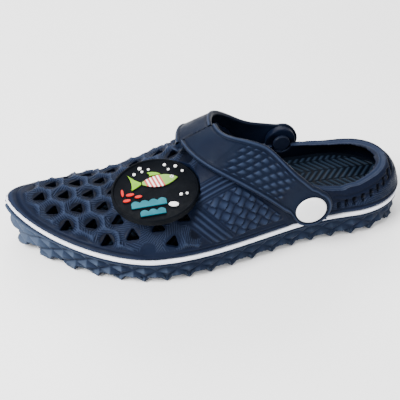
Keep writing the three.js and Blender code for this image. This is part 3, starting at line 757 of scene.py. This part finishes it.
# the strap's inner face: flat at the pivot, then off the lobe and over the crown
def strapPoints(along, across, side):
    x, flatZ = strapSide(along, across, side)
    middleX, middleZ = strapSide(along, 0.0 * across, side)
    s = shareAt(x)
    rise = crownRise(x) + strap["crownGap"]
    onCrown = clamp01((along / strap["reach"] - 0.72) / 0.28) ** 2
    lineShare = clamp01((flatZ - upperBaseZ(s)) / rise)
    middle = (middleZ - upperBaseZ(shareAt(middleX))) / (crownRise(middleX) + strap["crownGap"])
    height = np.minimum(1, lineShare * (1 - onCrown) + np.minimum(1, middle) * onCrown)
    height = np.where(along >= strap["reach"], 1.0, height)
    half = (innerHalf(s) if side > 0 else outerHalf(s)) - upperInset + 1.0
    archY = side * half * np.sqrt(clamp01(1 - height ** 2)) + centreLine(s)
    lobeY = centreShift + side * pivotFaceY
    apart = side * (archY - lobeY)
    leaveLobe = smooth((np.hypot(along, across) - strap["flatRadius"]) / 5)
    reachOut = 0.5 * leaveLobe * (apart + np.sqrt(apart ** 2 + 1))
    leaveFlat = smooth((along - strap["reach"] * 0.2) / (strap["reach"] * 0.35))
    y = (lobeY + side * reachOut) * (1 - leaveFlat) + archY * leaveFlat
    z = flatZ * (1 - onCrown) + (upperBaseZ(s) + rise * height) * onCrown
    return np.stack([x, y, z], -1)


def strapNormals(along, across, side):
    step = 0.2
    dAcross = strapPoints(along, across + step, side) - strapPoints(along, across - step, side)
    ahead = np.minimum(along + step, strap["reach"] - 2 * step)
    dAlong = strapPoints(ahead, across, side) - strapPoints(ahead - 2 * step, across, side)
    normal = np.cross(dAcross, dAlong)
    normal /= np.maximum(1e-9, np.linalg.norm(normal, axis=-1))[..., None]
    # every normal points away from the shoe
    out = 3.3 * side * normal[..., 1] + normal[..., 2]
    normal = normal * np.where(out < 0, -1.0, 1.0)[..., None]
    # the two arms meet on an upright plane at the crown
    flat = normal.copy()
    flat[..., 1] = 0
    flat /= np.maximum(1e-9, np.linalg.norm(flat, axis=-1))[..., None]
    top = along >= strap["reach"] - 1e-6
    return np.where(top[..., None], flat, normal)


# raised pattern of the strap's outer face, where share runs from -1 to 1 across it
def strapRelief(along, share, half):
    across = share * half
    fromEdge = half - np.abs(across)
    rim = np.where(along < 0, lobeRadius - np.hypot(along, across), fromEdge)
    height = strap["bead"] * bump(rim, 1.5, 0.75) - strap["groove"] * bump(rim, 2.9, 0.5)
    # rows of scales between the lobe and the plain crown
    row = np.floor(across / strap["scaleWidth"])
    inRow = across / strap["scaleWidth"] - row - 0.5
    step = along / strap["scaleLength"] + 0.5 * (row % 2) + 0.35 * inRow
    tooth = step - np.floor(step)
    scale = (tooth ** 0.8) * smooth((1 - tooth) / 0.16) * (1 - (2 * inRow) ** 2) ** 0.7
    field = smooth((along - strap["scalesFrom"]) / 3) * smooth((strap["scalesTo"] - along) / 5)
    field = field * smooth((fromEdge - 3.3) / 0.6)
    height = height + field * (strap["scale"] * scale - 0.3)
    plate = smooth((along - strap["scalesTo"] - 1) / 2) * smooth((fromEdge - 3.4) / 0.8)
    return height + 0.15 * plate


# half the strap's width at a distance along: round at the lobe, slimmer on the inner arm
def strapHalf(along, side):
    half = math.sqrt(max(0.6, lobeRadius ** 2 - along ** 2)) if along < 6.5 else strap["halfWidth"]
    if side > 0:
        half *= 1 - (1 - strap["innerShare"]) * (1 - float(smooth(along / strap["reach"])))
    return half


def makeStrap():
    countAlong = 230
    countAcross = 52
    eased = np.sin(math.pi / 2 * np.linspace(0, 1, countAlong) ** 0.93)
    start = 0.25 - lobeRadius
    alongs = start + (strap["reach"] - start) * eased
    alongs[-1] = strap["reach"]
    edgeTurn = np.linspace(-1, 1, countAcross)
    share = np.sign(edgeTurn) * (1 - (1 - np.abs(edgeTurn)) ** 1.25)
    rings, reliefs = [], []
    for side, order in ((-1, alongs), (1, alongs[:-3][::-1])):
        for along in order:
            half = strapHalf(along, side)
            across = half * share
            where = np.full(countAcross, along)
            inner = strapPoints(where, across, side)
            normal = strapNormals(where, across, side)
            relief = strapRelief(where, share, half) * (1.0 if along > -13 else 0.0)
            fromEdge = half - np.abs(across)
            beyondRound = clamp01(1 - fromEdge / strap["roundEdge"])
            tuck = strap["roundEdge"] * (1 - np.sqrt(clamp01(1 - beyondRound ** 2)))
            outer = inner + normal * (strap["thickness"] - tuck + relief * smooth(fromEdge / 0.6))[:, None]
            rings.append(np.concatenate([inner + normal * (tuck * 0.6)[:, None], outer[::-1]]))
            # painted light: raised scales and beads are painted lighter and grooves darker, and the inner
            # face gets a painted shade
            reliefs.append(np.concatenate([np.full(countAcross, 0.3), (0.42 + 0.5 * relief)[::-1]]))
    size = 2 * countAcross
    faces = gridFaces(len(rings), size, True)
    faces.append(tuple(range(size)))
    last = (len(rings) - 1) * size
    faces.append(tuple(range(last + size - 1, last - 1, -1)))
    obj = newPiece("strap", np.concatenate(rings), faces)
    setValues(obj, "relief", np.clip(np.concatenate(reliefs), 0, 1))
    ends = [(strap["holeRadius"], -pivotFaceY - 9), (strap["holeRadius"], pivotFaceY + 9)]
    cutter = turnedPiece("hole", ends, lambda a, b, h: (pivotX + a, centreShift + h, pivotZ + b), 48)
    hole = obj.modifiers.new("hole", "BOOLEAN")
    hole.operation = "DIFFERENCE"
    hole.object = cutter
    hole.solver = "EXACT"
    applyModifiers(obj)
    bpy.data.objects.remove(cutter)
    obj.data.materials.clear()
    obj.data.materials.append(strapMaterial)
    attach(obj, "strap")
    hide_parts("heel_strap")
    print("strap", len(obj.data.vertices))


makeStrap()

rivetSeat = pivotFaceY + strap["thickness"] + fitGap
rivet = {"headRadius": 9.75, "headThickness": 2.2, "shankRadius": 3.0, "bore": 1.9}


def plainNode(name, material):
    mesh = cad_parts[name].data
    mesh.materials.clear()
    mesh.materials.append(material)


def makeRivets():
    tip = pivotFaceY - earGap - earThickness + 1
    top = rivetSeat + rivet["headThickness"]
    head = rivet["headRadius"]
    profile = [(0.2, rivetSeat - 1), (rivet["bore"], rivetSeat - 1), (rivet["bore"], tip)]
    profile += [(rivet["shankRadius"], tip), (rivet["shankRadius"], rivetSeat)]
    profile += [(head - 0.4, rivetSeat), (head, rivetSeat + 0.45)]
    for k in range(9):
        turn = math.pi / 2 * k / 8
        profile.append((head - 1.5 + 1.5 * math.cos(turn), rivetSeat + 0.6 + 1.1 * math.sin(turn)))
    profile += [(head - 2.6, top - 0.38), (6.0, top - 0.18), (3.0, top - 0.05), (0.2, top)]
    for name, side in (("outer", -1), ("inner", 1)):
        def toPlace(a, b, h, side=side):
            return (pivotX + a, centreShift + side * h, pivotZ + b)
        obj = turnedPiece("rivet_head_" + name, profile, toPlace)
        obj.data.materials.append(rivetMaterial)
        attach(obj, "shoe")
        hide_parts("rivet_cap_" + name)
    plainNode("rivet_post_outer", postMaterial)
    plainNode("rivet_post_inner", postMaterial)
    plainNode("midsole", coreMaterial)
    print("rivets")


makeRivets()

# the charm, built face up round its own middle and then laid into place
charmCentre = Vector(charmSpot)
charmNormal = Vector((-math.tan(math.radians(4)), -math.tan(math.radians(6)), 1)).normalized()
charmTurn = Vector((0, 0, 1)).rotation_difference(charmNormal)
charm = {"radius": 26.5, "thickness": 3.4, "rimWidth": 1.6, "rimRise": 0.9,
         "inlay": 0.8, "inlayGap": 0.05}


def ontoCharm(a, b, h):
    return tuple(charmTurn @ Vector((a, b, h)) + charmCentre)


def makeCharmPlate():
    r, rim = charm["radius"], charm["rimRise"]
    profile = [(0.2, -charm["thickness"]), (r - 0.9, -charm["thickness"])]
    for k in range(7):
        turn = math.pi / 2 * k / 6
        profile.append((r - 0.8 + 0.8 * math.sin(turn), -charm["thickness"] + 0.8 - 0.8 * math.cos(turn)))
    middle = r - charm["rimWidth"] / 2
    for k in range(13):
        turn = math.pi * k / 12
        profile.append((middle + 0.8 * math.cos(turn), rim - 0.7 + 0.7 * math.sin(turn)))
    profile += [(r - charm["rimWidth"] - 0.25, 0.02), (r * 0.6, 0.0), (0.2, 0.0)]
    obj = turnedPiece("charm_disc", profile, ontoCharm, 160)
    obj.data.materials.append(blackMaterial)
    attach(obj, "charm")
    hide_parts("charm_plate")
    plainNode("charm_plug", blackMaterial)


# points are corners, or (control, corner) pairs for a rounded run
def curved(points, steps=10):
    path = [points[0]]
    for item in points[1:]:
        if isinstance(item[0], tuple):
            (cx, cy), (ex, ey) = item
            sx, sy = path[-1]
            for k in range(1, steps + 1):
                t = k / steps
                start, pull, end = (1 - t) ** 2, 2 * t * (1 - t), t * t
                path.append((start * sx + pull * cx + end * ex, start * sy + pull * cy + end * ey))
        else:
            path.append(item)
    return path


# a flat inlay with rounded edges
def makeInlay(name, path, material, rounding):
    line = bpy.data.curves.new(name, "CURVE")
    line.dimensions = "2D"
    line.fill_mode = "BOTH"
    line.extrude = charm["inlay"] / 2 - rounding
    line.bevel_depth = rounding
    line.bevel_resolution = 4
    line.offset = -rounding
    spline = line.splines.new("POLY")
    spline.points.add(len(path) - 1)
    for spot, (a, b) in zip(spline.points, path):
        spot.co = (a, b, 0, 1)
    spline.use_cyclic_u = True
    holder = link(bpy.data.objects.new(name, line))
    mesh = bpy.data.meshes.new_from_object(holder.evaluated_get(bpy.context.evaluated_depsgraph_get()))
    bpy.data.objects.remove(holder)
    obj = link(bpy.data.objects.new(name + "_inlay", mesh))
    flat = np.empty(len(mesh.vertices) * 3)
    mesh.vertices.foreach_get("co", flat)
    flat = flat.reshape(-1, 3)
    lift = charm["inlayGap"] + charm["inlay"] / 2
    placed = np.array([ontoCharm(a, b, h + lift) for a, b, h in flat])
    mesh.vertices.foreach_set("co", (placed * mm).ravel())
    setValues(obj, "charmPlace", flat)
    shape = bmesh.new()
    shape.from_mesh(mesh)
    bmesh.ops.remove_doubles(shape, verts=shape.verts, dist=1e-6)
    bmesh.ops.recalc_face_normals(shape, faces=shape.faces)
    shape.to_mesh(mesh)
    shape.free()
    shadeSmooth(mesh, False)
    mesh.materials.clear()
    mesh.materials.append(material)
    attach(obj, "charm")
    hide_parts(name)


def oval(x, y, radiusX, radiusY, turn=0.0, count=28):
    path = []
    for k in range(count):
        a = 2 * math.pi * k / count
        u, v = radiusX * math.cos(a), radiusY * math.sin(a)
        across = u * math.cos(turn) - v * math.sin(turn)
        path.append((x + across, y + u * math.sin(turn) + v * math.cos(turn)))
    return path


fish = {
    "back": (2.0, 6.5), "eye": (11.4, 8.2), "eyeRadius": 1.15, "pupilRadius": 0.6,
    "bandPitch": 2.4, "bandsFrom": -3.5, "bandsTo": 7.1,
    "green": ((0.12, 0.26, 0.015), (0.16, 0.32, 0.022)),
    "red": (0.4, 0.018, 0.015), "white": (0.82, 0.82, 0.8),
}


# green vinyl with printed red and white bands and a dark eye
def stripedFish():
    material, tree, shader = newMaterial("fish_vinyl")
    place = objectPlace(tree)
    apart = tree.nodes.new("ShaderNodeSeparateXYZ")
    tree.links.new(stored(tree, "charmPlace").outputs["Vector"], apart.inputs[0])
    u, v = apart.outputs[0], apart.outputs[1]
    blotch = stepped(tree, noise(tree, place, 120.0, 4.0), 0.3, 0.7)
    green = mixed(tree, blotch, rgba(fish["green"][0]), rgba(fish["green"][1]))
    lean = maths(tree, "MULTIPLY_ADD", v, 0.25, u)
    wave = maths(tree, "SINE", maths(tree, "MULTIPLY", lean, 2 * math.pi / fish["bandPitch"]))
    bands = mixed(tree, stepped(tree, wave, -0.1, 0.5), rgba(fish["red"]), rgba(fish["white"]))
    fromTail = stepped(tree, lean, fish["bandsFrom"] - 0.1, fish["bandsFrom"] + 0.1)
    toHead = stepped(tree, lean, fish["bandsTo"] + 0.1, fish["bandsTo"] - 0.1)
    colour = mixed(tree, maths(tree, "MULTIPLY", fromTail, toHead), green, bands)
    offU = maths(tree, "POWER", maths(tree, "SUBTRACT", u, fish["eye"][0]), 2.0)
    offV = maths(tree, "POWER", maths(tree, "SUBTRACT", v, fish["eye"][1]), 2.0)
    eyeGap = maths(tree, "SQRT", maths(tree, "ADD", offU, offV))
    onEye = stepped(tree, eyeGap, fish["eyeRadius"] + 0.1, fish["eyeRadius"] - 0.1)
    colour = mixed(tree, onEye, colour, (0.85, 0.85, 0.84, 1))
    onPupil = stepped(tree, eyeGap, fish["pupilRadius"] + 0.1, fish["pupilRadius"] - 0.1)
    colour = mixed(tree, onPupil, colour, (0.01, 0.01, 0.012, 1))
    tree.links.new(colour, shader.inputs["Base Color"])
    rough = stepped(tree, noise(tree, place, 300.0), 0.3, 0.7, 0.36, 0.5)
    tree.links.new(rough, shader.inputs["Roughness"])
    bumped(tree, shader, [(noise(tree, place, 1500.0, 2.0), 0.12, 0.0002)])
    return material


def makeFish():
    fx, fy = fish["back"]
    nose = (fx + 13, fy + 0.5)
    body = [nose, ((fx + 4, fy + 9), (fx - 9, fy + 0.9)), (fx - 9, fy - 1.3), ((fx + 3, fy - 9.5), nose)]
    makeInlay("fish_body", curved(body, 24)[:-1], stripedFish(), 0.3)
    tail = [(fx - 9.6, fy + 0.6), ((fx - 12.5, fy + 2), (fx - 17, fy + 8.5))]
    tail += [((fx - 14.5, fy + 1), (fx - 16, fy - 5)), ((fx - 12, fy - 3), (fx - 9.6, fy - 1))]
    makeInlay("fish_tail", curved(tail), greenMaterial, 0.2)
    x, y = fx + 3, fy + 5.3
    fin = [(x, y), ((x - 2.4, y + 3.4), (x - 8, y + 3.06)), ((x - 6, y + 1.02), (x - 7.2, y))]
    makeInlay("fish_fin", curved(fin), greenMaterial, 0.2)


# waves as (name, left end, waterline, length, depth, crests), bubbles as (x, y, radius) and
# dashes as (x, y, length, height)
sea = {
    "waves": [("sea_wave_front", -15.5, -9.5, 21, 4, 4), ("sea_wave_back", -11, -17.5, 15, 3.2, 3)],
    "bubbles": [(-10.9, 15.1, 1), (-7, 19.6, 1.2), (-5.9, 16.4, 0.8), (-1.8, 17.6, 0.8), (8.5, 19.6, 1),
                (10.3, 15, 0.8), (15, 16.9, 1.1), (18.5, 11.9, 0.9), (14.7, -7.8, 1), (18.3, -7.8, 0.8)],
    "dashes": [(-19.6, 0.8, 1.7, 6), (-15.2, -1.6, 5, 2.4), (-17.6, -6, 4.6, 2.4), (-10.5, -4.2, 4.4, 2.2)],
}


def makeSea():
    for name, x, y, length, depth, crests in sea["waves"]:
        crest = length / crests
        path = [(x, y - depth), (x, y)]
        for i in range(crests):
            path.append(((x + (i + 0.45) * crest, y + 3.2), (x + (i + 1) * crest, y)))
        path.append((x + length, y - depth))
        makeInlay(name, curved(path), tealMaterial, 0.25)
    makeInlay("pebble", oval(9.2, -14.8, 3, 1.8, -0.3), whiteMaterial, 0.3)
    for k, (x, y, radius) in enumerate(sea["bubbles"]):
        makeInlay("bubble_" + str(k + 1), oval(x, y, radius, radius), whiteMaterial, 0.2)
    for k, (x, y, length, width) in enumerate(sea["dashes"]):
        dash = oval(x, y, length / 2, width / 2)
        makeInlay("coral_dash_" + str(k + 1), dash, redMaterial, 0.25)


makeCharmPlate()
makeFish()
makeSea()
print("charm")


# floor, lights and camera, in metres; each light is (place, size, power)
studio = {
    "floorSize": 6.0, "floorDrop": 0.00005, "floorColours": ((0.93, 0.93, 0.93), (0.95, 0.95, 0.95)),
    "sky": 1.0, "aim": (0, 0, 0.02),
    "key": ((-0.75, -0.35, 1.0), (0.6, 0.6), 42),
    "fill": ((0.9, -0.9, 0.8), (1.0, 1.0), 8),
    "back": ((0.1, 1.2, 0.9), (1.2, 0.6), 22),
    "lookAt": (0, 0.0058, 0.0279), "toCamera": (-0.1405, -0.7665, 0.6266), "distance": 0.4908,
    "lens": 67.18, "shift": (-0.02, -0.03),
}


def makeFloor():
    count = 41
    lines = np.linspace(-0.5, 0.5, count) * studio["floorSize"] / mm
    points = [(x, y, -studio["floorDrop"] / mm) for x in lines for y in lines]
    obj = newPiece("floor", points, gridFaces(count, count, False))
    material, tree, shader = newMaterial("pale_floor")
    place = objectPlace(tree)
    blotch = stepped(tree, noise(tree, place, 6.0), 0.3, 0.7)
    colour = mixed(tree, blotch, rgba(studio["floorColours"][0]), rgba(studio["floorColours"][1]))
    tree.links.new(colour, shader.inputs["Base Color"])
    shader.inputs["Roughness"].default_value = 0.9
    shader.inputs["Specular IOR Level"].default_value = 0.1
    obj.data.materials.append(material)


def areaLight(name):
    place, size, power = studio[name]
    lamp = bpy.data.lights.new(name, "AREA")
    lamp.shape = "RECTANGLE"
    lamp.size = size[0]
    lamp.size_y = size[1]
    lamp.energy = power
    obj = link(bpy.data.objects.new(name, lamp))
    obj.location = place
    obj.rotation_euler = (Vector(studio["aim"]) - Vector(place)).to_track_quat("-Z", "Y").to_euler()


def makeStudio():
    makeFloor()
    world = bpy.data.worlds.new("studio")
    world.use_nodes = True
    world.node_tree.nodes["Background"].inputs[0].default_value = (1.0, 1.0, 1.0, 1)
    world.node_tree.nodes["Background"].inputs[1].default_value = studio["sky"]
    bpy.context.scene.world = world
    for name in ("key", "fill", "back"):
        areaLight(name)
    toCamera = Vector(studio["toCamera"]).normalized()
    lens = bpy.data.cameras.new("camera")
    lens.sensor_width = 36
    lens.lens = studio["lens"]
    lens.shift_x = studio["shift"][0]
    lens.shift_y = studio["shift"][1]
    lens.clip_start = 0.01
    obj = link(bpy.data.objects.new("camera", lens))
    obj.location = Vector(studio["lookAt"]) + toCamera * studio["distance"]
    obj.rotation_euler = (-toCamera).to_track_quat("-Z", "Y").to_euler()
    bpy.context.scene.camera = obj
    print("studio")


makeStudio()
